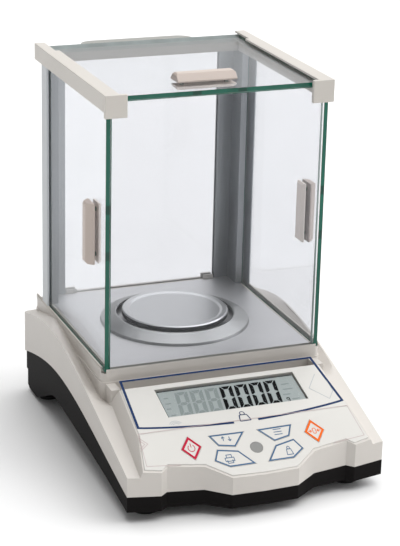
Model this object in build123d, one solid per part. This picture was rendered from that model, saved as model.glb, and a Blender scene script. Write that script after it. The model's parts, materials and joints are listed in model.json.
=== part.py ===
from build123d import *
import os

# Analytical balance with a sliding-door draft shield, sizes in mm, +Z up, front faces -Y.
# The parts are drawn with y = 0 on the front of the rail caps, then moved by frame_shift_y
# so that the origin sits at the middle of the overall footprint, on the table.
frame_shift_y = -49.0

# --- base and housing ---
base_half_width = 107.0
base_rear_y = 188.0
wall = 3.0
foot_boss_bottom_z = 9.5
leg_outer_half = 104.5
seam_front_z = 19.2
platform_half_width = 95.5
platform_front_y = 4.2
platform_rear_y = 188.0
platform_top_z = 85.9
platform_inner_z = 79.9
step_z = 75.3
step_inset = 0.8

# --- sloping console: an upper display plane and a steeper key plane ---
display_slope = 0.294
display_z_at_front = 79.13
key_slope = 0.590
key_z_at_front = 99.04
console_side_taper = 25.0
overlay_thickness = 0.8

# --- draft shield ---
shield_half_width = 95.0
rail_front_y = 3.5
rail_back_y = 186.5
rail_bottom_z = 296.4
rail_top_z = 310.2
rail_inner_half = 82.8
slot_floor_z = 304.1
lip_bottom_z = 308.2
lip_inner_half = 82.6
lip_end_y = 155.0
door_groove_inner = 88.7
door_groove_outer = 92.8
door_groove_top_z = 301.2
glass = 3.4
door_inner_half = 89.0
door_front_y = 5.5
door_rear_y = 167.5
door_bottom_z = 83.7
door_top_z = 300.7
front_glass_y = 5.4
front_glass_half = 88.2
cap_inner_half = 77.0
cap_bottom_z = 292.1
column_inner_half = 82.9
column_outer_half = 88.5
column_front_y = 160.0
column_leg_inner = 70.0
column_leg_front_y = 180.6
rear_glass_y = 182.05
rear_glass_thickness = 3.0
rear_groove_front_y = 181.9
rear_groove_back_y = 185.2
crossbar_front_y = 170.0
tab_half_width = 51.0
guide_outer_half = 94.3
guide_front_y = 153.6
guide_rear_y = 169.4
tab_rear_y = 208.0

# --- weighing chamber ---
pan_y = 94.3
pan_radius = 45.0
pan_rim_z = 96.2
ring_outer_radius = 63.4
ring_inner_radius = 49.5
ring_top_z = 93.0
plate_half_width = 87.0
plate_front_y = 9.4
plate_rear_y = 180.2
plate_thickness = 1.0
post_hole_radius = 12.0

# --- door handles ---
handle_y = 39.5
handle_z = 190.5
handle_length = 50.0
pin_offset = 18.8
pin_radius = 1.5


def box(x0, x1, y0, y1, z0, z1):
    size = (x1 - x0, y1 - y0, z1 - z0)
    centre = ((x0 + x1) / 2, (y0 + y1) / 2, (z0 + z1) / 2)
    return Pos(*centre) * Box(*size)


def rod(x, y, z0, z1, radius):
    return Pos(x, y, (z0 + z1) / 2) * Cylinder(radius, z1 - z0)


def flat(points):
    return make_face(Polyline(*points, close=True))


def plan_prism(points, z0, z1, taper=0.0):
    return Pos(0, 0, z0) * extrude(flat(points), z1 - z0, taper=taper)


def side_prism(points, x0, x1):
    face = Plane.YZ.offset(x0) * flat(points)
    return extrude(face, x1 - x0, dir=(1, 0, 0))


def front_prism(points, y0, y1):
    face = Pos(0, y0, 0) * make_face(Polyline(*[(x, 0, z) for x, z in points], close=True))
    return extrude(face, y1 - y0, dir=(0, 1, 0))


def mirrored(points):
    return points + [(-x, y) for x, y in reversed(points) if x != 0]


def other_side(shape):
    return mirror(shape, about=Plane.YZ)


def save(name, *shapes):
    moved = [Pos(0, frame_shift_y, 0) * shape for shape in shapes]
    body = moved[0] if len(moved) == 1 else Compound(children=moved)
    os.makedirs("parts", exist_ok=True)
    export_step(body, f"parts/{name}.step")


def display_z(y):
    return display_z_at_front + display_slope * y


def key_z(y):
    return key_z_at_front + key_slope * y


crease_y = (display_z_at_front - key_z_at_front) / (key_slope - display_slope)


def outline(inset=0.0):
    front = -110.0 + inset
    return mirrored([
        (0, front),
        (27.5 - inset * 0.4, front + 0.8),
        (46 - inset * 0.6, -97.5 + inset),
        (75 - inset * 0.3, -93.5 + inset),
        (81 - inset * 0.5, -97.5 + inset),
        (base_half_width - inset, -93.0 + inset),
        (base_half_width - inset, 181.0 - inset * 0.4),
        (base_half_width - 4 - inset * 0.7, base_rear_y - 2 - inset * 0.8),
        (base_half_width - 12, base_rear_y - inset),
    ])


def seam_curve():
    rear_end = (base_rear_y + 4, 34.0)
    return Spline((-114, seam_front_z - 0.4), (8, 44.4), (100, 53.2), (142, 47.2), rear_end)


def region_below(curve, floor_z):
    start = curve @ 0
    end = curve @ 1
    loop = Polyline((start.X, start.Y), (start.X, floor_z), (end.X, floor_z), (end.X, end.Y))
    return Plane.YZ * make_face([curve, loop])


def below_seam(half_width):
    face = region_below(seam_curve(), -20.0)
    return extrude(Pos(-half_width, 0, 0) * face, 2 * half_width, dir=(1, 0, 0))


def ledge_curve():
    return Spline(
        (-114, 31.8), (-92.5, 38.3), (2.4, 66.8), (41, 77), (97, 85.2), (123, 85.0), (155, 79.6), (192, 71),
    )


def below_ledge(half_width, drop=0.0):
    face = region_below(ledge_curve(), -20.0)
    return extrude(Pos(-half_width, 0, -drop) * face, 2 * half_width, dir=(1, 0, 0))


def console_profile(drop):
    return [
        (platform_front_y + 2, display_z(platform_front_y + 2) - drop),
        (crease_y, display_z(crease_y) - drop),
        (-112, key_z(-112) - drop),
        (-112, 10),
        (platform_front_y + 2, 10),
    ]


def console_sides(inset):
    points = mirrored([
        (0, -125),
        (102.3 - inset, -125),
        (100.9 - inset, -94),
        (107.6 - inset, -8),
        (108.5 - inset, platform_front_y + 4),
    ])
    return plan_prism(points, 30, 110, taper=console_side_taper)


def tray():
    solid = plan_prism(outline(), 0, 80) & side_prism(tray_bottom + [(192, 80), (-114, 80)], -120, 120)
    hollow_side = [(y, z + wall) for y, z in tray_bottom] + [(192, 90), (-114, 90)]
    hollow = plan_prism(outline(wall), 0, 90) & side_prism(hollow_side, -120, 120)
    body = (solid - hollow) & below_seam(120)
    recess = side_prism([(151, 0), (151, 17.5), (161, 41), (161, 80), (200, 80), (200, 0)], leg_outer_half, 120)
    body = body - recess - other_side(recess)
    leg = rear_leg()
    body = body + leg + other_side(leg)
    for side in (-1, 1):
        boss = rod(side * foot_x, foot_y, foot_boss_bottom_z, 24, 7)
        body = body + boss - rod(side * foot_x, foot_y, 0, 21, foot_thread_radius + 0.3)
    for x, y in housing_screw_places:
        body = body + rod(x, y, floor_under(y), 42, 5) - rod(x, y, 0, 39, 1.6) - rod(x, y, 0, floor_under(y) + 4, 3.4)
    for x in (-bracket_half, bracket_half):
        for y in (bracket_front_y, bracket_back_y):
            body = body + rod(x, y, floor_under(y), bracket_bottom_z, 5)
    return body


def rear_leg():
    block = side_prism([(104, 29), (104, 26), (154, 3), (176, 3), (184, 7), (187.5, 14), (187.5, 29)], 80, leg_outer_half)
    upper = side_prism([(148, 20), (190, 20), (190, 60), (148, 60)], leg_outer_half - 4, leg_outer_half)
    return (block + upper) & below_seam(120) & plan_prism(outline(2.0), 0, 80)


foot_x = 85.0
foot_y = -72.0
foot_radius = 11.0
foot_thread_radius = 3.0
housing_screw_places = [(-60, -60), (60, -60), (-70, 120), (70, 120)]
bracket_half = 22.0
bracket_front_y = 118.0
bracket_back_y = 162.0
bracket_bottom_z = 40.0


tray_bottom = [
    (-114, 7.5), (-90, 9.8), (-41, 16.8), (10, 22.3), (70, 27.3), (90, 29.3), (128, 23.0), (151, 17.5), (192, 20.0),
]


def floor_under(y):
    for (y0, z0), (y1, z1) in zip(tray_bottom, tray_bottom[1:]):
        if y <= y1:
            return z0 + (z1 - z0) * (y - y0) / (y1 - y0)


def platform_block(half_width, front_y, rear_y, top_z):
    corner = 5.0
    base = Pos(0, (front_y + rear_y) / 2, 0) * RectangleRounded(2 * half_width, rear_y - front_y, corner)
    return Pos(0, 0, 30) * extrude(base, top_z - 30)


def valley():
    stations = [-14.0, 4.0, 60.0, 110.0, 140.0]
    inner_heights = [62.2, 59.0, 71.0, 81.6, 85.5]
    crest_heights = [62.8, 67.6, 81.2, 86.0, 86.0]
    top = [(stations[-1], 100.0), (stations[0], 100.0)]
    near = Plane.YZ.offset(platform_half_width - 4) * flat(list(zip(stations, inner_heights)) + top)
    far = Plane.YZ.offset(base_half_width - 1.5) * flat(list(zip(stations, crest_heights)) + top)
    cut = loft([near, far], ruled=True)
    return cut + other_side(cut)


def housing():
    solid = plan_prism(outline(), 0, 110) & below_ledge(120)
    solid = solid - valley()
    lower = platform_block(platform_half_width, platform_front_y, platform_rear_y, step_z)
    upper = platform_block(
        platform_half_width - step_inset,
        platform_front_y + step_inset,
        platform_rear_y,
        platform_top_z,
    )
    console = plan_prism(outline(), 0, 110) & side_prism(console_profile(overlay_thickness), -110, 110)
    console = console & console_sides(0)
    solid = solid + lower + upper + console
    solid = solid - below_seam(120)
    inner = plan_prism(outline(wall), -5, 110) & below_ledge(120, 2 * wall)
    inner = inner & plan_prism(mirrored([(0, -120), (base_half_width - wall, -120), (base_half_width - wall, 190)]), -5, 120)
    inner = inner - box(-120, 120, platform_front_y - 12, 200, platform_inner_z, 120)
    side_valley = side_prism([(-18, 59), (4, 54), (60, 66), (110, 77), (150, 81), (150, 96), (-18, 96)], 88, 106.6)
    inner = inner - side_valley - other_side(side_valley)
    chamber = platform_block(platform_half_width - step_inset - wall, platform_front_y + wall + 1, 185, platform_inner_z)
    under_console = plan_prism(outline(wall), 0, 110) & side_prism(console_profile(overlay_thickness + wall), -110, 110)
    under_console = under_console & console_sides(wall + 1)
    under_console = under_console - box(-120, 120, platform_front_y - 1, 200, 60, 120)
    solid = solid - inner - chamber - under_console
    cheek = box(84, platform_half_width - 3.9, platform_front_y - 14, platform_front_y + 2, 56, 74)
    solid = solid + cheek + other_side(cheek)
    return solid - housing_cuts()


def housing_cuts():
    recess = box(
        -plate_half_width - 0.1, plate_half_width + 0.1, plate_front_y - 0.1, plate_rear_y + 0.1,
        platform_top_z - plate_thickness, 100,
    )
    cuts = recess + rod(0, pan_y, 70, 100, post_hole_radius)
    track = box(plate_half_width + 0.15, 94.35, 5.2, 190, 82.35, 100)
    cuts = cuts + track + other_side(track)
    cuts = cuts + box(-88.4, 88.4, front_glass_y - 0.2, front_glass_y + glass + 0.2, 82.7, 100)
    cuts = cuts + box(-75, 75, rear_groove_front_y, rear_groove_back_y, 82.7, 100)
    for x, y in column_screw_places:
        cuts = cuts + rod(x, y, 70, 100, column_screw_radius + 0.1)
    cuts = cuts + lcd_opening(0.3, 12)
    cuts = cuts + key_plane_rod(level_x, level_y, -20, 5, level_radius + 1.5)
    for name, points in key_shapes.items():
        cuts = cuts + key_prism(points, 0.8, -15, 5)
    cuts = cuts + jack_body(0.2) + serial_body(0.2)
    for x, y in housing_screw_places:
        cuts = cuts + rod(x, y, 0, 1, 0.5)
    return cuts


column_screw_places = [(-85.0, 168.0), (85.0, 168.0), (-79.5, 182.6), (79.5, 182.6)]
column_screw_radius = 1.25
crossbar_screw_places = [(-79.0, 183.5), (79.0, 183.5)]

# --- console pieces, drawn in the sloping planes ---
lcd_centre_x = 0.6
lcd_centre_y = -34.6
lcd_length = 118.8
lcd_height = 34.4
level_x = 0.0
level_y = -88.8
level_radius = 5.2
key_gap = 0.2

key_shapes = {
    "key_power": [(-51.5, -72.9), (-43.1, -82.3), (-51.5, -92.2), (-60.1, -82.5)],
    "key_tare": [(51.5, -72.9), (60.1, -82.5), (51.5, -92.2), (43.1, -82.3)],
    "key_unit": [(-35.0, -74.6), (-5.2, -75.0), (-16.4, -86.2), (-29.8, -83.8)],
    "key_menu": [(35.0, -74.6), (29.8, -83.8), (16.4, -86.2), (5.2, -75.0)],
    "key_print": [(-32.0, -86.4), (-15.6, -89.4), (-5.0, -101.4), (-26.5, -101.4), (-37.2, -95.0)],
    "key_cal": [(32.0, -86.4), (37.2, -95.0), (26.5, -101.4), (5.0, -101.4), (15.6, -89.4)],
}


def sloped_plane(y, height, slope):
    normal = Vector(0, -slope, 1).normalized()
    return Plane(origin=(0, y, height), x_dir=(1, 0, 0), z_dir=normal)


def display_plane():
    return sloped_plane(lcd_centre_y, display_z(lcd_centre_y), display_slope)


def key_plane():
    return sloped_plane(level_y, key_z(level_y), key_slope)


def lcd_block(margin, low, high):
    shape = Pos(lcd_centre_x, 0, low) * extrude(Rectangle(lcd_length + 2 * margin, lcd_height + 2 * margin), high - low)
    return display_plane() * shape


def lcd_opening(margin, depth):
    return lcd_block(margin, -depth, 3)


def key_plane_rod(x, y, low, high, radius):
    along = (y - level_y) * (1 + key_slope ** 2) ** 0.5
    return key_plane() * (Pos(x, along, (low + high) / 2) * Cylinder(radius, high - low))


def key_prism(points, margin, low, high):
    stretch = (1 + key_slope ** 2) ** 0.5
    flat_points = [(x, (y - level_y) * stretch) for x, y in points]
    face = flat(flat_points)
    grown = offset(face, margin, kind=Kind.INTERSECTION) if margin != 0 else face
    return key_plane() * (Pos(0, 0, low) * extrude(grown, high - low, dir=(0, 0, 1)))


def overlay():
    band = side_prism(console_profile(0), -110, 110) - side_prism(console_profile(overlay_thickness), -110, 110)
    sheet = band & console_sides(1.2) & plan_prism(outline(1.5), 0, 110)
    sheet = sheet & box(-110, 110, -120, platform_front_y - 1.5, 0, 120)
    sheet = sheet - lcd_opening(0.2, 3)
    sheet = sheet - key_plane_rod(level_x, level_y, -3, 3, level_radius + 0.1)
    for points in key_shapes.values():
        sheet = sheet - key_prism(points, key_gap, -3, 3)
    return sheet


def key_pad(points):
    cap = key_prism(points, 0, -2.2, 0.25)
    flange = key_prism(points, 0.5, -2.2, -1.2)
    return cap + flange


def lcd_window():
    return lcd_block(0, -1.0, -0.1)


def lcd_module():
    glass_block = lcd_block(-1.0, -4.2, -1.4)
    board = lcd_block(-1.0, -6.0, -4.2)
    return glass_block + board


def level_vial():
    body = key_plane_rod(level_x, level_y, -8, -0.1, level_radius)
    cavity = key_plane_rod(level_x, level_y, -5, -1.4, level_radius - 1.2)
    flange = key_plane_rod(level_x, level_y, -8, -6, level_radius + 1.2)
    return body + flange - cavity


def level_bubble():
    along = 0.6
    return key_plane() * (Pos(level_x + 0.4, along, -2.0) * Cylinder(1.6, 0.9))


def keypad_board():
    board = key_plane() * (Pos(0, 6, -9.2) * Box(124, 22, 1.6) + Pos(0, -9, -9.2) * Box(72, 14, 1.6))
    for points in key_shapes.values():
        x, y = key_middle(points)
        board = board + key_plane_rod(x, y, -8.4, -2.8, 3.0)
    return board


def key_middle(points):
    count = len(points)
    return sum(p[0] for p in points) / count, sum(p[1] for p in points) / count


def main_board():
    board = box(-62, 62, 20, 84, 46, 47.6)
    board = board + box(-50, -20, 35, 60, 47.6, 51) + box(8, 24, 40, 56, 47.6, 50)
    for x in (30, 40, 50):
        board = board + rod(x, 30, 47.6, 58, 4)
    for x in (-58, 58):
        for y in (24, 80):
            board = board + rod(x, y, floor_under(y) + wall + 0.25, 46, 3)
    return board


# --- weighing system ---
def load_cell_bracket():
    plate = box(-27, 27, 113, 168, bracket_bottom_z, 46)
    riser = box(-16, 16, 142, 166, 46, 52)
    return plate + riser


def load_cell():
    beam = box(-15, 15, 78, 166, 52, 72)
    for y in (104, 132):
        beam = beam - Pos(0, y, 62) * Rot(0, 90, 0) * Cylinder(7, 40)
    beam = beam - box(-20, 20, 104, 132, 58.5, 65.5)
    return beam - rod(0, pan_y, 60, 80, 5.1)


def pan_support():
    post = rod(0, pan_y, 66.2, 88, 4.0)
    collar = rod(0, pan_y, 72.5, 75.5, 8.0)
    tip = Pos(0, pan_y, 89.5) * Cone(4.0, 2.6, 3)
    return post + collar + tip


def ring_of(points):
    face = Plane.XZ * flat(points)
    return Pos(0, pan_y, 0) * revolve(face, Axis.Z, 360)


def weighing_pan():
    dish = ring_of([
        (0, 94.0), (38.6, 94.0), (40.6, 95.0), (43.4, 95.2), (44.2, 94.4), (44.2, 91.6),
        (pan_radius, 91.6), (pan_radius, 95.2), (44.0, pan_rim_z), (40.2, 96.0), (38.2, 95.0), (0, 95.0),
    ])
    socket = ring_of([(0, 91.3), (3.4, 91.3), (4.35, 88.2), (4.35, 86.5), (7.5, 86.5), (7.5, 94.0), (0, 94.0)])
    return dish + socket


def draft_ring():
    return ring_of([
        (ring_inner_radius, 91.0), (ring_inner_radius + 0.8, 91.0), (ring_inner_radius + 0.8, 92.2),
        (61.6, 87.3), (62.4, platform_top_z + 0.05), (ring_outer_radius, platform_top_z + 0.05),
        (62.5, 88.1), (ring_inner_radius + 1.2, ring_top_z), (ring_inner_radius, ring_top_z),
    ])


def floor_plate():
    sheet = box(
        -plate_half_width, plate_half_width, plate_front_y, plate_rear_y,
        platform_top_z - plate_thickness, platform_top_z,
    )
    for x, y in column_screw_places:
        sheet = sheet - rod(x, y, 70, 100, column_screw_radius + 0.1)
    return sheet - rod(0, pan_y, 70, 100, post_hole_radius)


# --- draft shield pieces, drawn for the right side and mirrored ---
def door_track():
    low = 82.4
    section = [
        (plate_half_width + 0.2, low), (94.3, low), (94.3, 87.0), (door_groove_outer, 87.0),
        (door_groove_outer, low + 1), (door_groove_inner, low + 1), (door_groove_inner, platform_top_z),
        (plate_half_width + 0.2, platform_top_z),
    ]
    return front_prism(section, 9.3, 187.0)


def rail():
    section = [
        (shield_half_width, rail_bottom_z), (shield_half_width, rail_top_z), (lip_inner_half, rail_top_z),
        (lip_inner_half, lip_bottom_z), (88.6, lip_bottom_z), (88.6, slot_floor_z),
        (rail_inner_half, slot_floor_z), (rail_inner_half, rail_bottom_z), (door_groove_inner, rail_bottom_z),
        (door_groove_inner, door_groove_top_z), (door_groove_outer, door_groove_top_z),
        (door_groove_outer, rail_bottom_z),
    ]
    body = front_prism(section, rail_front_y, rail_back_y)
    body = body - box(70, 86, lip_end_y, 200, lip_bottom_z - 0.1, rail_top_z + 1)
    return body - box(70, 88.6, front_glass_y - 0.2, front_glass_y + glass + 0.2, 290, slot_floor_z + 0.1)


def rail_cap():
    plate = box(cap_inner_half, shield_half_width, 0, rail_front_y, cap_bottom_z, rail_top_z)
    edges = plate.faces().sort_by(Axis.Y)[0].edges()
    return fillet(edges, 0.6)


def column():
    z0 = platform_top_z
    z1 = rail_bottom_z
    body = box(column_inner_half, column_outer_half, column_front_y, rail_back_y, z0, z1)
    body = body + box(column_leg_inner, column_outer_half, column_leg_front_y, rail_back_y, z0, z1)
    corner = body.edges().filter_by(Axis.Z).sort_by(lambda e: e.center().X + e.center().Y)[-1]
    body = fillet(corner, 5.0)
    body = body - box(column_leg_inner - 1, 75, rear_groove_front_y, rear_groove_back_y, 0, 400)
    for y in (164.0, 171.0):
        body = body - box(column_outer_half - 1.2, column_outer_half + 1, y, y + 3.0, 0, 400)
    for x, y in column_screw_places[1::2]:
        body = body - rod(x, y, 0, 104, column_screw_radius + 0.1)
    return body - rod(79.0, 183.5, 280, 400, 1.6)


def column_guide():
    strip = box(door_groove_outer, guide_outer_half, guide_front_y, guide_rear_y, 87.0, rail_bottom_z)
    return fillet(strip.faces().sort_by(Axis.X)[-1].edges().filter_by(Axis.Z), 1.2)


def crossbar():
    half = rail_inner_half - 0.1
    body = box(-half, half, crossbar_front_y, 188, rail_bottom_z, slot_floor_z)
    tab = box(-tab_half_width, tab_half_width, 180, tab_rear_y, 301.0, slot_floor_z)
    corners = tab.edges().filter_by(Axis.Z).sort_by(Axis.Y)[-2:]
    body = body + fillet(corners, 13.0)
    body = body - box(-75.2, 75.2, rear_groove_front_y, rear_groove_back_y, 290, 299.4)
    for x, y in crossbar_screw_places:
        body = body - rod(x, y, 280, 310, 1.8) - rod(x, y, slot_floor_z - 2.2, 310, 3.1)
    return body


def cap_screws():
    return [
        rod(x, y, slot_floor_z - 2.2, slot_floor_z - 0.2, 2.9) + rod(x, y, 284, slot_floor_z - 2.2, 1.5)
        for x, y in crossbar_screw_places
    ]


def column_screws():
    return [
        rod(x, y, platform_inner_z - 2.2, platform_inner_z, 2.3) + rod(x, y, platform_inner_z, 102, column_screw_radius)
        for x, y in column_screw_places
    ]


def rear_glass_stop():
    body = box(59.5, 69.0, 180.4, 187.6, platform_top_z, 89.6)
    return body - box(50, 80, rear_groove_front_y, rear_groove_back_y, 80, 100)


def pane_with_holes(pane, holes):
    for hole in holes:
        pane = pane - hole
    return pane


def side_door():
    pane = box(
        door_inner_half, door_inner_half + glass, door_front_y, door_rear_y, door_bottom_z, door_top_z,
    )
    return pane_with_holes(pane, side_pins(0.25, 80, 110))


def side_pins(extra, x0, x1):
    return [
        Pos((x0 + x1) / 2, handle_y, z) * Rot(0, 90, 0) * Cylinder(pin_radius + extra, x1 - x0)
        for z in (handle_z - pin_offset, handle_z + pin_offset)
    ]


def top_door():
    pane = box(-88.2, 88.2, door_front_y, 182.0, slot_floor_z + 0.3, slot_floor_z + 0.3 + glass)
    return pane_with_holes(pane, top_pins(0.25, 290, 320))


def top_pins(extra, z0, z1):
    return [rod(x, handle_y, z0, z1, pin_radius + extra) for x in (-pin_offset, pin_offset)]


outer_half_section = [(0, -8.5), (1.2, -8.5), (6.5, -3.5), (6.5, 3.5), (1.2, 8.5), (0, 8.5)]
inner_half_section = [(0, -7.0), (0.8, -7.0), (3.0, -4.6), (3.0, 4.6), (0.8, 7.0), (0, 7.0)]


def handle_bar(section):
    bar = Pos(0, 0, -handle_length / 2) * extrude(flat(section), handle_length)
    ends = bar.faces().sort_by(Axis.X)[-1].edges().filter_by(Axis.Y)
    return chamfer(ends, 1.5)


def side_handle_outer():
    bar = Pos(door_inner_half + glass, handle_y, handle_z) * handle_bar(outer_half_section)
    return pane_with_holes(bar, side_pins(0.05, 80, door_inner_half + glass + 4))


def side_handle_inner():
    bar = Pos(door_inner_half, handle_y, handle_z) * Rot(0, 0, 180) * handle_bar(inner_half_section)
    return pane_with_holes(bar, side_pins(0.05, door_inner_half - 2, 110))


def top_handle_outer():
    bar = Pos(0, handle_y, slot_floor_z + 0.3 + glass) * Rot(0, -90, 0) * handle_bar(outer_half_section)
    return pane_with_holes(bar, top_pins(0.05, 290, slot_floor_z + 0.3 + glass + 4))


def top_handle_inner():
    bar = Pos(0, handle_y, slot_floor_z + 0.3) * Rot(0, 90, 0) * handle_bar(inner_half_section)
    return pane_with_holes(bar, top_pins(0.05, slot_floor_z + 0.3 - 2, 330))


def front_glass():
    return box(
        -front_glass_half, front_glass_half, front_glass_y, front_glass_y + glass,
        82.9, slot_floor_z - 0.2,
    )


def rear_glass():
    return box(-74.8, 74.8, rear_glass_y, rear_glass_y + rear_glass_thickness, 82.9, 299.2)


# --- feet, ports and fasteners ---
def levelling_foot(x):
    wheel = rod(x, foot_y, 0, 6, foot_radius)
    wheel = fillet(wheel.edges(), 0.8)
    stud = rod(x, foot_y, 6, 20, foot_thread_radius)
    return wheel + stud


def rear_pads():
    return [rod(x, 160, 0, 3, 8) for x in (-92, 92)]


def jack_body(extra):
    shell = box(-58 - extra, -46 + extra, 176, 189.5, 58 - extra, 69 + extra)
    return shell


def power_jack():
    hole = Pos(-52, 186, 63.5) * Rot(90, 0, 0) * Cylinder(3.6, 14)
    pin = Pos(-52, 183, 63.5) * Rot(90, 0, 0) * Cylinder(1.1, 9)
    return jack_body(0) - hole + pin


def serial_body(extra):
    return box(20 - extra, 51 + extra, 178, 189.0, 56 - extra, 68.5 + extra)


def serial_port():
    body = serial_body(0)
    shroud = box(25.5, 45.5, 189.0, 193, 57.8, 66.8) - box(26.3, 44.7, 188, 194, 58.6, 66.0)
    core = box(26.6, 44.4, 189.0, 192, 58.9, 65.7)
    holes = [
        Pos(35.5 + 2.7 * i - 5.4, 191, 63.6) * Rot(90, 0, 0) * Cylinder(0.6, 3) for i in range(5)
    ]
    for hole in holes:
        core = core - hole
    return body + shroud + core


def housing_screws():
    return [
        rod(x, y, floor_under(y) + 1.0, floor_under(y) + 4, 3.0) + rod(x, y, floor_under(y) + 4, 38, 1.5)
        for x, y in housing_screw_places
    ]


def build():
    save("base_tray", tray())
    save("top_housing", housing())
    save("control_overlay", overlay())
    save("lcd_window", lcd_window())
    save("lcd_module", lcd_module())
    save("level_vial", level_vial())
    save("level_bubble", level_bubble())
    for name, points in key_shapes.items():
        save(name, key_pad(points))
    save("keypad_board", keypad_board())
    save("main_board", main_board())
    save("load_cell_bracket", load_cell_bracket())
    save("load_cell", load_cell())
    save("pan_support", pan_support())
    save("weighing_pan", weighing_pan())
    save("draft_ring", draft_ring())
    save("floor_plate", floor_plate())
    pieces = {
        "door_track": door_track(),
        "top_rail": rail(),
        "rail_cap": rail_cap(),
        "column": column(),
        "column_guide": column_guide(),
        "side_door": side_door(),
        "side_handle_outer": side_handle_outer(),
        "side_handle_inner": side_handle_inner(),
    }
    for name, shape in pieces.items():
        save(name + "_right", shape)
        save(name + "_left", other_side(shape))
    pins = side_pins(0, door_inner_half - 1.8, door_inner_half + glass + 3.8)
    save("side_handle_pins_right", *pins)
    save("side_handle_pins_left", *[other_side(pin) for pin in pins])
    save("top_door", top_door())
    save("top_handle_outer", top_handle_outer())
    save("top_handle_inner", top_handle_inner())
    save("top_handle_pins", *top_pins(0, slot_floor_z - 1.5, slot_floor_z + 0.3 + glass + 3.8))
    save("front_glass", front_glass())
    save("rear_glass", rear_glass())
    save("crossbar", crossbar())
    save("crossbar_screws", *cap_screws())
    save("column_screws", *column_screws())
    stop = rear_glass_stop()
    save("rear_glass_stops", stop, other_side(stop))
    save("levelling_foot_left", levelling_foot(-foot_x))
    save("levelling_foot_right", levelling_foot(foot_x))
    save("rear_pads", *rear_pads())
    save("power_jack", power_jack())
    save("serial_port", serial_port())
    save("housing_screws", *housing_screws())


build()
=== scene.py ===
import json
import math

import bmesh
import bpy
from mathutils import Matrix, Vector

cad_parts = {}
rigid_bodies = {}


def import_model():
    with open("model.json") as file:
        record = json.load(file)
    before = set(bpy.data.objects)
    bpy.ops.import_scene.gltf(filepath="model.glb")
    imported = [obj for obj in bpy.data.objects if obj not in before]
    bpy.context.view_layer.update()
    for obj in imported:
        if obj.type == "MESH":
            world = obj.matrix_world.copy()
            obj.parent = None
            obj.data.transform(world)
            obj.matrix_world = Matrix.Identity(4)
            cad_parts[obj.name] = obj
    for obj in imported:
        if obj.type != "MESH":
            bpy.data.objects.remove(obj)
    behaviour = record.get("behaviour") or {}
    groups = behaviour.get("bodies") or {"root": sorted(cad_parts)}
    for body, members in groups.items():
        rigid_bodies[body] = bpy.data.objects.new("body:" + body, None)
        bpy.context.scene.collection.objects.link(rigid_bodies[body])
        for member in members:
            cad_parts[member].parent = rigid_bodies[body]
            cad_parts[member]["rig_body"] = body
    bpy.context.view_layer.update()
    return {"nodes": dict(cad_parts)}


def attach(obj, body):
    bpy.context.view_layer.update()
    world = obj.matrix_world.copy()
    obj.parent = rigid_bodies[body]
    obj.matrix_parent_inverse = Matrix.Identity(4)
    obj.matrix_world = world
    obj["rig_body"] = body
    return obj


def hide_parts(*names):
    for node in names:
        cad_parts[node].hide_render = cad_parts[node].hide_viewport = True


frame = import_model()
NODES = frame["nodes"]
MM = 0.001
SHIFT_Y = -0.049          # the CAD origin sits behind the front of the shield


# ---------------------------------------------------------------- node material helpers
class Shader:
    """A small builder for node materials."""

    def __init__(self, name):
        self.material = bpy.data.materials.new(name)
        self.material.use_nodes = True
        self.tree = self.material.node_tree
        self.tree.nodes.clear()
        self.output = self.node("ShaderNodeOutputMaterial")
        self.coords = self.node("ShaderNodeTexCoord").outputs["Object"]

    def node(self, kind, **settings):
        made = self.tree.nodes.new(kind)
        for key, value in settings.items():
            setattr(made, key, value)
        return made

    def link(self, a, b):
        self.tree.links.new(a, b)

    def scaled(self, scale):
        mapping = self.node("ShaderNodeMapping")
        self.link(self.coords, mapping.inputs["Vector"])
        mapping.inputs["Scale"].default_value = scale
        return mapping.outputs["Vector"]

    def noise(self, scale, detail=3.0, rough=0.55, vector=None):
        made = self.node("ShaderNodeTexNoise")
        made.inputs["Scale"].default_value = scale
        made.inputs["Detail"].default_value = detail
        made.inputs["Roughness"].default_value = rough
        self.link(vector if vector is not None else self.coords, made.inputs["Vector"])
        return made.outputs["Fac"]

    def ramp(self, fac, low, high, start=0.3, end=0.7):
        made = self.node("ShaderNodeValToRGB")
        made.color_ramp.elements[0].position = start
        made.color_ramp.elements[1].position = end
        made.color_ramp.elements[0].color = low
        made.color_ramp.elements[1].color = high
        self.link(fac, made.inputs["Fac"])
        return made.outputs["Color"]

    def spread(self, fac, low, high):
        made = self.node("ShaderNodeMapRange")
        made.inputs["To Min"].default_value = low
        made.inputs["To Max"].default_value = high
        self.link(fac, made.inputs["Value"])
        return made.outputs["Result"]

    def bump(self, height, strength, distance):
        made = self.node("ShaderNodeBump")
        made.inputs["Strength"].default_value = strength
        made.inputs["Distance"].default_value = distance
        self.link(height, made.inputs["Height"])
        return made.outputs["Normal"]

    def principled(self, **values):
        made = self.node("ShaderNodeBsdfPrincipled")
        for key, value in values.items():
            socket = made.inputs[key.replace("_", " ")]
            if isinstance(value, bpy.types.NodeSocket):
                self.link(value, socket)
            else:
                socket.default_value = value
        self.link(made.outputs["BSDF"], self.output.inputs["Surface"])
        return made


def rgba(r, g, b, a=1.0):
    return (r, g, b, a)


def linear(r, g, b):
    """A colour given as 0-255 display values, as linear light."""
    out = []
    for channel in (r, g, b):
        c = channel / 255
        out.append(c / 12.92 if c <= 0.04045 else ((c + 0.055) / 1.055) ** 2.4)
    return (*out, 1.0)


def shade(colour, factor):
    return (colour[0] * factor, colour[1] * factor, colour[2] * factor, 1.0)


# heights of the bump in the surface, in metres: a moulded grain, straight brush marks, turned rings
FINE_RELIEF = 0.00012
STREAK_RELIEF = 0.00006
RING_RELIEF = 0.00005
TURNED_RINGS = 2600.0      # how closely the turned rings follow each other along a radius


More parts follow.
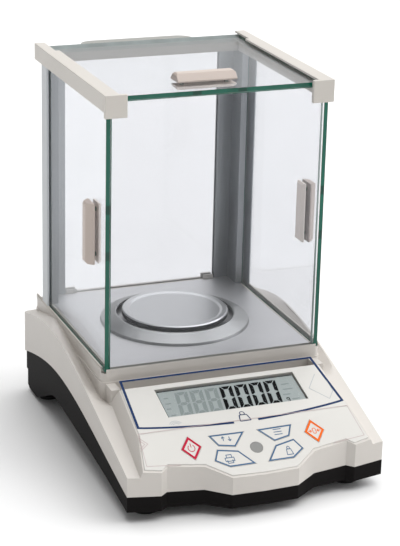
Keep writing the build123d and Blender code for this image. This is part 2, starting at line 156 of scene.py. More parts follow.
def moulded(name, colour, rough=0.42, grain=900.0, bump=0.25, vary=0.05, coat=0.0, level=0.45):
    s = Shader(name)
    slow = s.noise(14.0, 4.0)
    fine = s.noise(grain, 4.0, 0.6)
    tone = s.ramp(slow, shade(colour, 1 - vary), shade(colour, 1 + vary * 0.5))
    roughness = s.spread(fine, rough - 0.06, rough + 0.08)
    normal = s.bump(fine, bump, FINE_RELIEF)
    s.principled(
        Base_Color=tone, Roughness=roughness, Normal=normal, Coat_Weight=coat, Specular_IOR_Level=level,
    )
    return s.material


def brushed(name, colour, stretch, rough=0.3, vary=0.12, bump=0.35):
    s = Shader(name)
    streaks = s.noise(1.0, 5.0, 0.6, s.scaled(stretch))
    patch = s.noise(9.0, 3.0)
    tone = s.ramp(streaks, shade(colour, 1 - vary), shade(colour, 1 + vary * 0.6), 0.25, 0.75)
    mixed = s.node("ShaderNodeMath", operation="ADD")
    s.link(s.spread(streaks, -0.10, 0.10), mixed.inputs[0])
    s.link(s.spread(patch, rough - 0.04, rough + 0.05), mixed.inputs[1])
    normal = s.bump(streaks, bump, STREAK_RELIEF)
    s.principled(Base_Color=tone, Metallic=1.0, Roughness=mixed.outputs[0], Normal=normal)
    return s.material


def turned(name, colour, rough=0.26, centre=(0.0, 0.0)):
    """Metal with circular brush marks about a vertical axis."""
    s = Shader(name)
    split = s.node("ShaderNodeSeparateXYZ")
    s.link(s.coords, split.inputs[0])
    dx = s.node("ShaderNodeMath", operation="SUBTRACT")
    dy = s.node("ShaderNodeMath", operation="SUBTRACT")
    s.link(split.outputs[0], dx.inputs[0])
    s.link(split.outputs[1], dy.inputs[0])
    dx.inputs[1].default_value = centre[0]
    dy.inputs[1].default_value = centre[1]
    flat = s.node("ShaderNodeCombineXYZ")
    s.link(dx.outputs[0], flat.inputs[0])
    s.link(dy.outputs[0], flat.inputs[1])
    length = s.node("ShaderNodeVectorMath", operation="LENGTH")
    s.link(flat.outputs[0], length.inputs[0])
    angle = s.node("ShaderNodeMath", operation="ARCTAN2")
    s.link(dy.outputs[0], angle.inputs[0])
    s.link(dx.outputs[0], angle.inputs[1])
    rings = s.node("ShaderNodeCombineXYZ")
    scaled = s.node("ShaderNodeMath", operation="MULTIPLY")
    scaled.inputs[1].default_value = TURNED_RINGS
    s.link(length.outputs["Value"], scaled.inputs[0])
    s.link(scaled.outputs[0], rings.inputs[0])
    s.link(angle.outputs[0], rings.inputs[1])
    streaks = s.noise(1.0, 4.0, 0.6, rings.outputs[0])
    tone = s.ramp(streaks, shade(colour, 0.88), shade(colour, 1.06), 0.25, 0.75)
    normal = s.bump(streaks, 0.3, RING_RELIEF)
    roughness = s.spread(streaks, rough - 0.06, rough + 0.1)
    s.principled(Base_Color=tone, Metallic=1.0, Roughness=roughness, Normal=normal)
    return s.material


HEAD_ON_GLOSS = 0.035      # share of the pane's gloss seen straight on
GRAZING_POWER = 5.0        # how late the gloss rises towards a grazing view of the surface


def clear_glass(name, tint, gloss=0.03, strength=0.6):
    """Thin pane surface: mostly straight-through, with a gloss that grows at grazing angles."""
    s = Shader(name)
    through = s.node("ShaderNodeBsdfTransparent")
    smears = s.noise(26.0, 4.0, 0.65, s.scaled((1.0, 1.0, 0.5)))
    s.link(s.ramp(smears, shade(tint, 0.992), tint), through.inputs["Color"])
    shine = s.node("ShaderNodeBsdfGlossy")
    shine.inputs["Color"].default_value = rgba(0.95, 0.98, 1.0)
    s.link(s.spread(smears, 0.0, gloss * 2), shine.inputs["Roughness"])
    facing = s.node("ShaderNodeLayerWeight")
    facing.inputs["Blend"].default_value = 0.5
    power = s.node("ShaderNodeMath", operation="POWER")
    s.link(facing.outputs["Facing"], power.inputs[0])
    power.inputs[1].default_value = GRAZING_POWER
    mix = s.node("ShaderNodeMixShader")
    s.link(s.spread(power.outputs[0], HEAD_ON_GLOSS * strength, strength), mix.inputs[0])
    s.link(through.outputs[0], mix.inputs[1])
    s.link(shine.outputs[0], mix.inputs[2])
    s.link(mix.outputs[0], s.output.inputs["Surface"])
    return s.material


def edge_glass(name, colour, axis=None, places=(), reach=0.0036):
    """The green polished edge of a float-glass pane, darker where it mirrors the handle's pins."""
    s = Shader(name)
    bands = s.noise(60.0, 3.0, 0.5, s.scaled((1.0, 1.0, 0.25)))
    tone = s.ramp(bands, shade(colour, 0.8), shade(colour, 1.2), 0.3, 0.75)
    if places:
        split = s.node("ShaderNodeSeparateXYZ")
        s.link(s.coords, split.inputs[0])
        total = None
        for place in places:
            near = s.node("ShaderNodeMath", operation="COMPARE")
            s.link(split.outputs[axis], near.inputs[0])
            near.inputs[1].default_value = place
            near.inputs[2].default_value = reach
            if total is None:
                total = near.outputs[0]
                continue
            both = s.node("ShaderNodeMath", operation="MAXIMUM")
            s.link(total, both.inputs[0])
            s.link(near.outputs[0], both.inputs[1])
            total = both.outputs[0]
        spot = s.node("ShaderNodeMix", data_type="RGBA")
        s.link(total, spot.inputs["Factor"])
        s.link(tone, spot.inputs["A"])
        spot.inputs["B"].default_value = shade(colour, 0.5)
        tone = spot.outputs["Result"]
    polish = s.spread(bands, 0.08, 0.2)
    s.principled(Base_Color=tone, Roughness=polish, Specular_IOR_Level=0.35, Coat_Weight=0.1)
    return s.material


PAN_CENTRE = (0.0, 0.0453)
PIN_HEIGHTS = (0.1807, 0.2183)
PIN_PLACES = (-0.0188, 0.0188)
EDGE_GREEN = linear(14, 92, 74)
PAINTED_PALE_EDGE = linear(176, 190, 186)

MAT = {
    "cream": moulded("cream_plastic", linear(206, 201, 195), 0.42, 1100.0, 0.22, 0.03),
    "cream_rail": moulded("cream_rail_plastic", linear(204, 199, 192), 0.40, 1100.0, 0.18, 0.03),
    "cream_handle": moulded("handle_plastic", linear(200, 186, 177), 0.40, 900.0, 0.2, 0.05),
    # painted light: a lighter copy of the handle plastic for the handles' inner halves, which sit behind
    # the glass
    "inner_handle_painted_light": moulded("inner_handle_painted_light_plastic", linear(250, 240, 232), 0.40, 900.0, 0.2, 0.04),
    "black": moulded("black_plastic", linear(22, 20, 20), 0.6, 800.0, 0.35, 0.12, level=0.06),
    "rubber": moulded("foot_rubber", linear(26, 26, 26), 0.75, 500.0, 0.4, 0.1),
    "film": moulded("printed_film", linear(209, 207, 202), 0.33, 1600.0, 0.06, 0.02),
    "bar": moulded("bar_paint", linear(168, 162, 154), 0.38, 1200.0, 0.12, 0.04),
    "tab": moulded("tab_paint", linear(150, 150, 145), 0.40, 1200.0, 0.12, 0.04),
    "plate": brushed("floor_steel", linear(216, 216, 217), (25.0, 1400.0, 25.0), 0.48),
    "track": moulded("track_satin", linear(196, 190, 182), 0.4, 1300.0, 0.1, 0.05),
    "guide": moulded("guide_satin", linear(196, 200, 203), 0.4, 1300.0, 0.1, 0.05),
    "column": brushed("column_anodised", linear(146, 149, 152), (1300.0, 1300.0, 9.0), 0.36, 0.1),
    "screw": brushed("screw_zinc", linear(165, 166, 168), (500.0, 500.0, 500.0), 0.3),
    "cell": brushed("cell_aluminium", linear(190, 192, 196), (40.0, 900.0, 900.0), 0.35),
    "pan": turned("pan_steel", linear(216, 217, 218), 0.34, PAN_CENTRE),
    "ring": turned("ring_steel", linear(172, 173, 173), 0.34, PAN_CENTRE),
    # painted shade: a dark copy of the turned steel for the pan's wall under its rim and the ring's bore,
    # where shade falls between pan and ring
    "wall": turned("painted_shade_steel", linear(84, 84, 86), 0.5, PAN_CENTRE),
    "post": turned("post_steel", linear(170, 171, 174), 0.3, PAN_CENTRE),
    "glass": clear_glass("pane_clear", rgba(0.915, 0.917, 0.926)),
    "edge": edge_glass("pane_edge", EDGE_GREEN),
    "edge_side": edge_glass("pane_edge_side", EDGE_GREEN, 2, PIN_HEIGHTS),
    "edge_top": edge_glass("pane_edge_top", EDGE_GREEN, 0, PIN_PLACES),
    "lcd": moulded("lcd_grey", linear(154, 161, 160), 0.35, 300.0, 0.03, 0.03),
    "window": clear_glass("window_clear", rgba(0.985, 0.99, 0.99), 0.02, 0.03),
    # painted light: a paler copy of the green pane edge, for edges that look pale instead of green
    "edge_painted_light": edge_glass("pane_edge_painted_light", PAINTED_PALE_EDGE),
    "board": moulded("board_green", linear(38, 92, 58), 0.4, 400.0, 0.2, 0.15),
    "vial": moulded("vial_grey", linear(118, 118, 115), 0.3, 400.0, 0.05, 0.06, 0.4),
    "port": brushed("port_metal", linear(175, 176, 178), (300.0, 300.0, 300.0), 0.3),
    "socket": moulded("socket_black", linear(36, 36, 37), 0.4, 700.0, 0.2, 0.1),
}


# ---------------------------------------------------------------- pieces made from the CAD nodes
WELD = 1e-6                # metres within which two vertices are one
FLAT_DEGREES = 0.6         # triangles that meet at less than this are one flat face
FACE_COSINE = 0.92         # a pane's clear faces look along its thin axis
PALE_COSINE = 0.6          # its pale edge, painted light, looks along the pale axis
ON_AXIS = 1e-6             # a radius below this is a point on the axis


def refined(node, material, width, segments=3, angle=35.0, smooth=True):
    """A copy of a CAD node with rounded edges, which hides the node and rides on the node's body."""
    source = NODES[node]
    mesh = source.data.copy()
    piece = bpy.data.objects.new(node + ".fine", mesh)
    bpy.context.scene.collection.objects.link(piece)
    bm = bmesh.new()
    bm.from_mesh(mesh)
    bmesh.ops.remove_doubles(bm, verts=bm.verts, dist=WELD)
    bmesh.ops.dissolve_limit(
        bm, angle_limit=math.radians(FLAT_DEGREES), verts=bm.verts, edges=bm.edges, delimit={"NORMAL"},
    )
    bm.to_mesh(mesh)
    bm.free()
    mesh.materials.clear()
    mesh.materials.append(material)
    if width > 0:
        bevel = piece.modifiers.new("round", "BEVEL")
        bevel.width = width
        bevel.segments = segments
        bevel.limit_method = "ANGLE"
        bevel.angle_limit = math.radians(angle)
        bevel.harden_normals = False
        bevel.use_clamp_overlap = True
    for face in mesh.polygons:
        face.use_smooth = smooth
    if smooth:
        even = piece.modifiers.new("even", "WEIGHTED_NORMAL")
        even.keep_sharp = True
    bpy.context.view_layer.update()
    settle(piece)
    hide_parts(node)
    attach(piece, source["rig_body"])
    return piece


def settle(piece):
    """Applies the piece's modifiers, so that its mesh is final."""
    graph = bpy.context.evaluated_depsgraph_get()
    final = bpy.data.meshes.new_from_object(piece.evaluated_get(graph))
    piece.modifiers.clear()
    piece.data = final


def paint(node, material):
    mesh = NODES[node].data
    mesh.materials.clear()
    mesh.materials.append(material)


def pane(node, thin_axis, edge, pale_axis=None, pale_sign=0, bevel=0.0004):
    """A glass pane: clear faces across its thin axis, green polished edges, one of them paler as painted
    light, a lighter copy of the same green.
    """
    piece = refined(node, MAT["glass"], bevel, 1, smooth=False)
    piece.data.materials.append(MAT[edge])
    piece.data.materials.append(MAT["edge_painted_light"])
    for face in piece.data.polygons:
        if abs(face.normal[thin_axis]) > FACE_COSINE:
            face.material_index = 0
        elif pale_axis is not None and face.normal[pale_axis] * pale_sign > PALE_COSINE:
            face.material_index = 2
        else:
            face.material_index = 1
    return piece


def lathe(node, material, profiles, rounding, segments=144):
    """A turned piece about the pan's axis, from closed (radius, height) outlines in millimetres."""
    bm = bmesh.new()
    for profile in profiles:
        outline = softened(profile, rounding)
        loops = []
        for radius, height in outline:
            if radius < ON_AXIS:
                loops.append([bm.verts.new((PAN_CENTRE[0], PAN_CENTRE[1], height * MM))] * segments)
                continue
            loops.append([
                bm.verts.new((
                    PAN_CENTRE[0] + radius * MM * math.cos(2 * math.pi * k / segments),
                    PAN_CENTRE[1] + radius * MM * math.sin(2 * math.pi * k / segments),
                    height * MM,
                ))
                for k in range(segments)
            ])
        for first, second in zip(loops, loops[1:] + loops[:1]):
            for k in range(segments):
                j = (k + 1) % segments
                corners = list(dict.fromkeys((first[k], first[j], second[j], second[k])))
                if len(corners) > 2:
                    bm.faces.new(corners)
    bmesh.ops.recalc_face_normals(bm, faces=bm.faces)
    mesh = bpy.data.meshes.new(node + ".fine")
    bm.to_mesh(mesh)
    bm.free()
    mesh.materials.append(material)
    for face in mesh.polygons:
        face.use_smooth = True
    piece = bpy.data.objects.new(node + ".fine", mesh)
    bpy.context.scene.collection.objects.link(piece)
    piece.modifiers.new("even", "WEIGHTED_NORMAL")
    bpy.context.view_layer.update()
    settle(piece)
    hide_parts(node)
    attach(piece, NODES[node]["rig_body"])
    return piece


def corner_arc(before, point, after, radius, share, steps):
    """Points of a small arc in place of a 2-D corner, which takes at most a share of each side."""
    p = Vector(point)
    a = Vector(before) - p
    b = Vector(after) - p
    r = min(radius, a.length * share, b.length * share)
    start, end = p + a.normalized() * r, p + b.normalized() * r
    arc = []
    for k in range(steps + 1):
        t = k / steps
        arc.append(tuple((1 - t) ** 2 * start + 2 * t * (1 - t) * p + t * t * end))
    return arc


def softened(profile, radius, steps=4):
    """An outline with its corners off the axis replaced by small arcs."""
    out = []
    count = len(profile)
    for i, point in enumerate(profile):
        if point[0] < ON_AXIS:
            out.append(point)
            continue
        out += corner_arc(profile[i - 1], point, profile[(i + 1) % count], radius, 0.45, steps)
    return out


PAN_DISH = [
    (0.0, 94.0), (38.6, 94.0), (40.6, 95.0), (43.4, 95.2), (44.2, 94.4), (44.2, 91.6), (45.0, 91.6),
    (45.0, 95.2), (44.0, 96.2), (40.2, 96.0), (38.2, 95.0), (0.0, 95.0),
]
PAN_SOCKET = [(0.0, 91.3), (3.4, 91.3), (4.35, 88.2), (4.35, 86.5), (7.5, 86.5), (7.5, 94.0), (0.0, 94.0)]
DRAFT_RING = [
    (49.5, 91.0), (50.3, 91.0), (50.3, 92.2), (61.6, 87.3), (62.4, 85.95), (63.4, 85.95),
    (62.5, 88.1), (50.7, 93.0), (49.5, 93.0),
]


for side in ("left", "right"):
    pane("side_door_" + side, 0, "edge_side")
    refined("side_handle_outer_" + side, MAT["cream_handle"], 0.0006)
    # the inner handle halves take the painted-light lighter copy of the handle plastic
    refined("side_handle_inner_" + side, MAT["inner_handle_painted_light"], 0.0004)
    refined("top_rail_" + side, MAT["cream_rail"], 0.0005)
    refined("rail_cap_" + side, MAT["cream_rail"], 0.0003)
    refined("column_" + side, MAT["column"], 0.0003)
    refined("column_guide_" + side, MAT["guide"], 0.0002)
    refined("door_track_" + side, MAT["track"], 0.00025)
    refined("levelling_foot_" + side, MAT["rubber"], 0.0003)
    paint("side_handle_pins_" + side, MAT["screw"])
# the front pane's right edge and the top door's rear edge take the painted-light pale copy of the green
# edge
pane("front_glass", 1, "edge_side", 0, 1)
pane("rear_glass", 1, "edge")
pane("top_door", 2, "edge_top", 1, 1)
refined("top_handle_outer", MAT["cream_handle"], 0.0006)
# the inner half takes the painted-light lighter copy of the handle plastic
refined("top_handle_inner", MAT["inner_handle_painted_light"], 0.0004)
bar = refined("crossbar", MAT["bar"], 0.0006)
bar.data.materials.append(MAT["tab"])
TAB_START_Y = 0.1392
for face in bar.data.polygons:
    face.material_index = 1 if face.center.y > TAB_START_Y else 0
refined("base_tray", MAT["black"], 0.0012, 3, angle=28.0)
refined("top_housing", MAT["cream"], 0.0010, 3, angle=28.0)
refined("floor_plate", MAT["plate"], 0.0002)
pan = lathe("weighing_pan", MAT["pan"], [PAN_DISH, PAN_SOCKET], 0.35)
pan.data.materials.append(MAT["wall"])
ring = lathe("draft_ring", MAT["ring"], [DRAFT_RING], 0.3)
ring.data.materials.append(MAT["wall"])
# painted shade: the pan's outer wall below the rim and the ring's bore take the dark steel copy, standing
# in for the shade in the gap between them
RIM_RADIUS, RIM_LOW_Z = 0.0446, 0.0952
BORE_RADIUS, BORE_TOP_Z = 0.0500, 0.0928


def reach_from_axis(face):
    return (Vector(face.center[:2]) - Vector(PAN_CENTRE)).length


for face in pan.data.polygons:
    face.material_index = 1 if reach_from_axis(face) > RIM_RADIUS and face.center.z < RIM_LOW_Z else 0
for face in ring.data.polygons:
    face.material_index = 1 if reach_from_axis(face) < BORE_RADIUS and face.center.z < BORE_TOP_Z else 0
refined("rear_glass_stops", MAT["cream"], 0.0004)
refined("control_overlay", MAT["film"], 0.00025)
for node in NODES:
    if node.startswith("key_"):
        refined(node, MAT["film"], 0.0002)
PAINTED = {
    "screw": ("top_handle_pins", "crossbar_screws", "column_screws", "housing_screws"),
    "window": ("lcd_window", "level_bubble"),
    "lcd": ("lcd_module",),
    "vial": ("level_vial",),
    "board": ("keypad_board", "main_board"),
    "cell": ("load_cell", "load_cell_bracket"),
    "post": ("pan_support",),
    "rubber": ("rear_pads",),
    "socket": ("power_jack",),
    "port": ("serial_port",),
}
for look, painted_nodes in PAINTED.items():
    for node in painted_nodes:
        paint(node, MAT[look])


# ---------------------------------------------------------------- prints on the console
# the two console planes, as height in mm at y = 0 of the shield frame and rise per mm of y
DISPLAY_SLOPE, DISPLAY_Z = 0.294, 79.13
KEY_SLOPE, KEY_Z = 0.590, 99.04


def on_display(x, y, lift=0.0):
    z = DISPLAY_Z + DISPLAY_SLOPE * y
    n = Vector((0, -DISPLAY_SLOPE, 1)).normalized()
    return (Vector((x, y, z)) + n * lift) * MM + Vector((0, SHIFT_Y, 0))


def on_keys(x, y, lift=0.0):
    z = KEY_Z + KEY_SLOPE * y
    n = Vector((0, -KEY_SLOPE, 1)).normalized()
    return (Vector((x, y, z)) + n * lift) * MM + Vector((0, SHIFT_Y, 0))


def ribbon(points, width, closed=True):
    """Flat quads that follow a line of 2-D points at the given width, with mitred corners."""
    count = len(points)
    inner, outer = [], []
    for i, point in enumerate(points):
        p = Vector(point)
        before = Vector(points[i - 1]) if closed or i > 0 else None
        after = Vector(points[(i + 1) % count]) if closed or i < count - 1 else None
        a = (p - before).normalized() if before is not None else (after - p).normalized()
        b = (after - p).normalized() if after is not None else a
        n = Vector((-(a + b).y, (a + b).x)).normalized()
        cosine = max(0.35, n.dot(Vector((-a.y, a.x))))
        inner.append(p + n * (width / 2 / cosine))
        outer.append(p - n * (width / 2 / cosine))
    verts = inner + outer
    faces = []
    for i in range(count if closed else count - 1):
        j = (i + 1) % count
        faces.append((i, j, count + j, count + i))
    return verts, faces


def rounded(points, radius, steps=5):
    """2-D corners replaced by small arcs."""
    out = []
    count = len(points)
    for i, point in enumerate(points):
        out += corner_arc(points[i - 1], point, points[(i + 1) % count], radius, 0.4, steps)
    return out


def print_piece(name, shapes, place, material, body, lift=0.06, thick=0.04):
    """Printed ink: thin raised shapes. shapes is a list of (2-D verts, faces)."""
    bm = bmesh.new()
    for verts, faces in shapes:
        low = [bm.verts.new(place(v[0], v[1], lift - thick)) for v in verts]
        top = [bm.verts.new(place(v[0], v[1], lift)) for v in verts]
        edges = {}
        for face in faces:
            bm.faces.new([top[i] for i in face])
            bm.faces.new([low[i] for i in reversed(face)])
            for k, i in enumerate(face):
                j = face[(k + 1) % len(face)]
                edges[(i, j)] = edges.get((i, j), 0) + 1
        for (i, j) in edges:
            if (j, i) not in edges:
                bm.faces.new([top[j], top[i], low[i], low[j]])
    bmesh.ops.recalc_face_normals(bm, faces=bm.faces)
    mesh = bpy.data.meshes.new(name)
    bm.to_mesh(mesh)
    bm.free()
    mesh.materials.append(material)
    piece = bpy.data.objects.new(name, mesh)
    bpy.context.scene.collection.objects.link(piece)
    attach(piece, body)
    return piece


def polygon(points):
    return [Vector(p) for p in points], [tuple(range(len(points)))]


def ink(name, colour, rough=0.5):
    return moulded(name, colour, rough, 1500.0, 0.05, 0.06, level=0.08)


INK = {
    "navy": ink("ink_navy", linear(32, 54, 94)),
    "slate": ink("ink_slate", linear(72, 104, 138)),
    "crimson": ink("ink_crimson", linear(190, 30, 62)),
    "orange": ink("ink_orange", linear(232, 104, 26)),
    "grey": ink("ink_grey", linear(168, 174, 180)),
    "rose": ink("ink_rose", linear(190, 172, 172)),
    "black": ink("ink_black", linear(7, 8, 9)),
    "ghost": ink("ink_ghost", linear(136, 144, 143)),
    "shadow": ink("ink_shadow", linear(62, 64, 64)),
}


def arc_points(centre, radius, start, end, steps=24):
    angles = [math.radians(start + (end - start) * k / steps) for k in range(steps + 1)]
    return [(centre[0] + radius * math.cos(a), centre[1] + radius * math.sin(a)) for a in angles]


# the dark line round the display zone: straight sides and a bowed lower edge with a gap in it
FRAME_TOP_Y, FRAME_LOW_Y, FRAME_BOW = -3.8, -58.4, 8.4
FRAME_TOP_X, FRAME_LOW_X, FRAME_GAP_X = 82.2, 86.4, 10.2
FRAME_LINE = 2.1


def bowed_y(x):
    return FRAME_LOW_Y - FRAME_BOW * math.cos(math.pi / 2 * min(1.0, abs(x) / FRAME_LOW_X)) ** 0.85


def frame_half(side):
    steps = 22
    points = [(0.0, FRAME_TOP_Y), (side * FRAME_TOP_X, FRAME_TOP_Y)]
    for k in range(steps + 1):
        x = FRAME_LOW_X + (FRAME_GAP_X - FRAME_LOW_X) * k / steps
        points.append((side * x, bowed_y(x)))
    return points


def line_print(name, lines, place, material, body="base", width=0.6, closed=True, lift=0.06):
    shapes = [ribbon(points, width, closed) for points in lines]
    return print_piece(name, shapes, place, material, body, lift)


FRAME_LINES = [frame_half(-1), frame_half(1)]
line_print("print_frame", FRAME_LINES, on_display, INK["navy"], width=FRAME_LINE, closed=False)

# faint outline of the key zone and plain decorative lines
KEY_ZONE = [(64, -94), (91, -91.5), (87.3, -65.6), (-88.7, -65.6), (-91, -91.5), (-64, -94)]
line_print("print_key_zone", [KEY_ZONE], on_keys, INK["rose"], width=0.35, closed=False)
DIAMOND = [(77.4, -24), (65.7, -39.6), (77.2, -54.6), (83.8, -46), (83.9, -33)]
line_print("print_diamond", [DIAMOND], on_display, INK["grey"], width=0.4, closed=False)
CHEVRONS = [
    [(-89.8, -68.6), (-84.2, -74.4), (-91.2, -78.9)],
    [(-89.9, -70.8), (-86.6, -74.3), (-91.0, -77.2)],
]
line_print("print_chevrons", CHEVRONS, on_keys, INK["rose"], width=0.45, closed=False)
ARCS = [arc_points((-56.0, -61.6), radius, 25, 155, 12) for radius in (2.6, 4.0, 5.4)]
line_print("print_arcs", ARCS, on_display, INK["grey"], width=0.4, closed=False)

# a plain weight pictogram in the gap of the frame line
WEIGHT = [(-4.6, -66.4), (-3.1, -59.4), (3.1, -59.4), (4.6, -66.4)]
line_print("print_weight", [rounded(WEIGHT, 1.2)], on_display, INK["navy"], width=0.9)
WEIGHT_RING = arc_points((0, -57.7), 1.9, 0, 345, 20)
line_print("print_weight_ring", [WEIGHT_RING], on_display, INK["navy"], width=0.7)

# ---------------------------------------------------------------- keys: outlines and pictograms
KEY_SHAPES = {
    "key_power": ([(-51.5, -72.9), (-43.1, -82.3), (-51.5, -92.2), (-60.1, -82.5)], "crimson", 1.7),
    "key_tare": ([(51.5, -72.9), (60.1, -82.5), (51.5, -92.2), (43.1, -82.3)], "orange", 1.7),
    "key_unit": ([(-35.0, -74.6), (-5.2, -75.0), (-16.4, -86.2), (-29.8, -83.8)], "slate", 1.05),
    "key_menu": ([(35.0, -74.6), (29.8, -83.8), (16.4, -86.2), (5.2, -75.0)], "slate", 1.05),
    "key_print": (
        [(-32.0, -86.4), (-15.6, -89.4), (-5.0, -101.4), (-26.5, -101.4), (-37.2, -95.0)], "slate", 1.05,
    ),
    "key_cal": (
        [(32.0, -86.4), (37.2, -95.0), (26.5, -101.4), (5.0, -101.4), (15.6, -89.4)], "slate", 1.05,
    ),
}
KEY_PROUD = 0.25
KEY_INK_LIFT = KEY_PROUD + 0.05
SIGN_LINE = 0.6


def inset(points, distance):
    """A convex outline moved inwards by a distance."""
    count = len(points)
    middle = sum((Vector(p) for p in points), Vector((0, 0))) / count
    out = []
    for i in range(count):
        p = Vector(points[i])
        a = (p - Vector(points[i - 1])).normalized()
        b = (Vector(points[(i + 1) % count]) - p).normalized()
        na, nb = Vector((-a.y, a.x)), Vector((-b.y, b.x))
        if na.dot(middle - p) < 0:
            na, nb = -na, -nb
        bisector = (na + nb).normalized()
        out.append(tuple(p + bisector * (distance / max(0.3, bisector.dot(na)))))
    return out


def power_sign(x, y):
    return [arc_points((x, y), 2.7, 125, 415, 24)], [[(x, y + 0.6), (x, y + 3.9)]]


def tare_sign(x, y):
    zero = [(x + dx, y + dy) for dx, dy in rounded_box(1.3, 2.1)]
    arrows = [[(x - 5.2, y), (x - 2.6, y)], [(x - 3.7, y + 1.2), (x - 2.5, y), (x - 3.7, y - 1.2)]]
    arrows += [[(2 * x - a, b) for a, b in line] for line in arrows]
    return [], [zero + [zero[0]]] + arrows


def unit_sign(x, y):
    stem = [(x - 2.6, y - 1.2), (x - 2.6, y + 2.2)]
    head = [(x - 3.9, y + 0.9), (x - 2.6, y + 2.3), (x - 1.3, y + 0.9)]
    up = [stem, head]
    down = [[(2 * x - a, 2 * y - b + 0.6) for a, b in line] for line in up]
    return [], up + down


def menu_sign(x, y):
    return [], [[(x - 3.4, y + d), (x + 3.4, y + d)] for d in (-1.9, 0.2, 2.3)]


def print_sign(x, y):
    body = [(x - 3.6, y - 1.7), (x - 3.6, y + 1.1), (x + 3.6, y + 1.1), (x + 3.6, y - 1.7)]
    paper = [(x - 2.1, y + 1.1), (x - 2.1, y + 3.4), (x + 2.1, y + 3.4), (x + 2.1, y + 1.1)]
    slip = [(x - 2.1, y - 0.7), (x - 2.1, y - 3.2), (x + 2.1, y - 3.2), (x + 2.1, y - 0.7)]
    return [], [body + [body[0]], paper, slip]


def cal_sign(x, y):
    body = [(x - 2.6, y - 3.2), (x - 1.7, y + 1.2), (x + 1.7, y + 1.2), (x + 2.6, y - 3.2)]
    return [], [body + [body[0]], arc_points((x, y + 2.3), 1.1, -60, 240, 14)]


def rounded_box(half_x, half_y):
    corners = [(-half_x, -half_y), (-half_x, half_y), (half_x, half_y), (half_x, -half_y)]
    return rounded(corners, half_x * 0.9, 4)


SIGNS = {
    "key_power": power_sign, "key_tare": tare_sign, "key_unit": unit_sign,
    "key_menu": menu_sign, "key_print": print_sign, "key_cal": cal_sign,
}
SIGN_SHIFT = {"key_unit": (0, 0.6), "key_menu": (0, 0.6), "key_print": (-1.5, -0.4), "key_cal": (1.5, -0.4)}

for key, (points, colour, width) in KEY_SHAPES.items():
    body = key + "_body"
    outline = inset(points, width / 2 + 0.15)
    line_print(key + ".outline", [outline], on_keys, INK[colour], body, width, lift=KEY_INK_LIFT)
    cx = sum(p[0] for p in points) / len(points) + SIGN_SHIFT.get(key, (0, 0))[0]
    cy = sum(p[1] for p in points) / len(points) + SIGN_SHIFT.get(key, (0, 0))[1]
    arcs, lines = SIGNS[key](cx, cy)
    line_print(
        key + ".sign", arcs + lines, on_keys, INK[colour], body, SIGN_LINE, closed=False, lift=KEY_INK_LIFT,
    )

# ---------------------------------------------------------------- display digits
DIGIT_LOW, DIGIT_TOP = -50.2, -23.2
DIGIT_WIDTH, DIGIT_PITCH, DIGIT_STROKE, DIGIT_LEAN = 10.6, 12.65, 3.3, 0.148
FIRST_DIGIT_X = -47.8
GHOST_DIGITS = 3
LCD_PRINT_LIFT = -1.34


def segment_shapes(x, y, width, height, thick, lean, names):
    """Seven-segment bars with slanted ends, as 2-D polygons in display-plane millimetres."""
    gap = thick * 0.13
    mid = height / 2
    half = thick / 2
    upright = [
        (0, mid + gap), (0, height - gap), (thick * 0.35, height - gap),
        (thick, height - thick - gap), (thick, mid + half + gap), (thick * 0.4, mid + gap),
    ]
    level = [
        (thick * 0.35 + gap, height), (width - thick * 0.35 - gap, height),
        (width - thick - gap, height - thick), (thick + gap, height - thick),
    ]
    middle = [
        (half + gap, mid), (thick + gap, mid + half), (width - thick - gap, mid + half),
        (width - half - gap, mid), (width - thick - gap, mid - half), (thick + gap, mid - half),
    ]

    def across(points):
        return [(width - u, v) for u, v in reversed(points)]

    def down(points):
        return [(u, height - v) for u, v in reversed(points)]

    bars = {
        "a": level, "b": across(upright), "c": across(down(upright)), "d": down(level),
        "e": down(upright), "f": upright, "g": middle,
    }
    return [polygon([(x + u + lean * v, y + v) for u, v in bars[name]]) for name in names]


def display_print(name, shapes, material, lift=LCD_PRINT_LIFT):
    return print_piece(name, shapes, on_display, material, "base", lift=lift, thick=0.05)


def dash(x, y, length, thick):
    half_l, half_t = length / 2, thick / 2
    low, high = y - half_t, y + half_t
    return polygon([(x - half_l, low), (x + half_l, low), (x + half_l, high), (x - half_l, high)])


black_shapes, ghost_shapes = [], []
for index in range(7):
    ghost = index < GHOST_DIGITS
    target = ghost_shapes if ghost else black_shapes
    target += segment_shapes(
        FIRST_DIGIT_X + index * DIGIT_PITCH, DIGIT_LOW, DIGIT_WIDTH, DIGIT_TOP - DIGIT_LOW,
        DIGIT_STROKE, DIGIT_LEAN, "abcdefg" if ghost else "abcdef",
    )
black_shapes.append(dash(1.2, -49.4, 1.9, 1.6))
unit_g = [ribbon(arc_points((44.6, -46.6), 1.1, 0, 345, 14), 0.7, False)]
unit_g.append(ribbon([(45.7, -45.4), (45.5, -49.3), (44.6, -50.0), (43.5, -49.6)], 0.7, False))
for x, y, length in ((-52.6, -28.2, 3.6), (-53.0, -34.6, 4.6), (-54.4, -40.6, 3.8), (-53.4, -48.2, 4.6)):
    ghost_shapes.append(dash(x, y, length, 1.1))
for x, y, length in ((49.0, -29.6, 6.6), (48.8, -35.6, 8.4), (45.6, -41.6, 6.4), (51.0, -47.8, 6.4)):
    ghost_shapes.append(dash(x, y, length, 1.2))
display_print("lcd_digits", black_shapes + unit_g, INK["black"])
display_print("lcd_ghosts", ghost_shapes, INK["ghost"])
# painted shadow: a dark band along the top of the display window, where the recess's upper wall shades the
# LCD
LCD_SHADOW_BAND = [(-57.6, -19.2), (58.8, -19.2), (58.8, -20.6), (-57.6, -20.6)]
display_print("lcd_shadow_band", [polygon(LCD_SHADOW_BAND)], INK["shadow"])

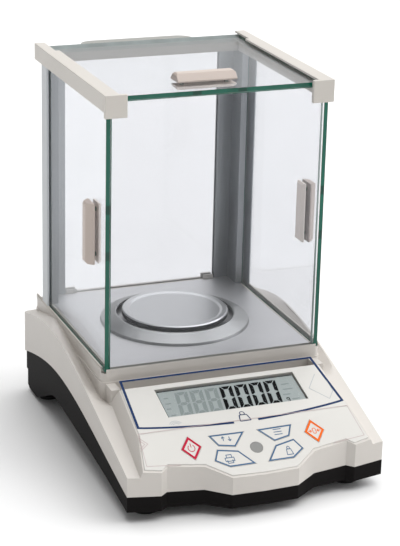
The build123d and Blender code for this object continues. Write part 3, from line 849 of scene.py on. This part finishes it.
# ---------------------------------------------------------------- lights, floor, camera
def area(name, place, target, size, power, colour=(1, 1, 1)):
    light = bpy.data.lights.new(name, "AREA")
    light.shape = "RECTANGLE"
    light.size, light.size_y = size
    light.energy = power
    light.color = colour
    lamp = bpy.data.objects.new(name, light)
    lamp.location = place
    lamp.rotation_euler = (Vector(target) - Vector(place)).to_track_quat("-Z", "Y").to_euler()
    bpy.context.scene.collection.objects.link(lamp)
    return lamp


FLOOR_HALF = 6.0
FLOOR_DARK, FLOOR_LIGHT = 0.87, 0.89
SKY_STRENGTH = 0.34


def floor():
    bm = bmesh.new()
    bmesh.ops.create_grid(bm, x_segments=2, y_segments=2, size=FLOOR_HALF)
    mesh = bpy.data.meshes.new("floor")
    bm.to_mesh(mesh)
    bm.free()
    piece = bpy.data.objects.new("floor", mesh)
    bpy.context.scene.collection.objects.link(piece)
    s = Shader("floor_white")
    soft = s.noise(3.0, 2.0)
    s.principled(
        Base_Color=s.ramp(soft, rgba(*[FLOOR_DARK] * 3), rgba(*[FLOOR_LIGHT] * 3)),
        Roughness=0.9, Specular_IOR_Level=0.1,
    )
    mesh.materials.append(s.material)
    return piece


def sun(name, direction, strength, spread_degrees):
    """A soft far light that comes from the given direction."""
    light = bpy.data.lights.new(name, "SUN")
    light.energy = strength
    light.angle = math.radians(spread_degrees)
    lamp = bpy.data.objects.new(name, light)
    lamp.rotation_euler = Vector(direction).to_track_quat("Z", "Y").to_euler()
    bpy.context.scene.collection.objects.link(lamp)
    return lamp


floor()
world = bpy.data.worlds.new("studio")
world.use_nodes = True
world.node_tree.nodes["Background"].inputs["Color"].default_value = (1.0, 1.0, 1.0, 1.0)
world.node_tree.nodes["Background"].inputs["Strength"].default_value = SKY_STRENGTH
bpy.context.scene.world = world
sun("overhead_light", (0.34, 0.10, 1.0), 2.85, 85.0)
sun("right_light", (1.0, -0.3, 0.6), 0.8, 50.0)
area("steel_card", (0.95, 2.5, 1.0), (0, 0.05, 0.1), (3.0, 1.8), 9.5)

CAMERA_AZ, CAMERA_EL, CAMERA_ROLL = -21.661, 19.584, 1.374
CAMERA_PLACE = Vector((-0.5389, -1.3676, 0.6657))
FOCAL_PX = 1905.3
FRAME_HEIGHT = 546
SENSOR = 36.0
az, el, roll = (math.radians(a) for a in (CAMERA_AZ, CAMERA_EL, CAMERA_ROLL))
back = Vector((math.sin(az) * math.cos(el), -math.cos(az) * math.cos(el), math.sin(el)))
right = (-back).cross(Vector((0, 0, 1))).normalized()
up = right.cross(-back)
right_rolled = right * math.cos(roll) + up * math.sin(roll)
up_rolled = up * math.cos(roll) - right * math.sin(roll)
camera_data = bpy.data.cameras.new("camera")
camera_data.sensor_fit = "VERTICAL"
camera_data.sensor_height = SENSOR
camera_data.lens = FOCAL_PX * SENSOR / FRAME_HEIGHT
camera = bpy.data.objects.new("camera", camera_data)
axes = Matrix((right_rolled, up_rolled, back)).transposed()
camera.matrix_world = Matrix.Translation(CAMERA_PLACE) @ axes.to_4x4()
bpy.context.scene.collection.objects.link(camera)
bpy.context.scene.camera = camera
bpy.context.scene.view_settings.view_transform = "Standard"
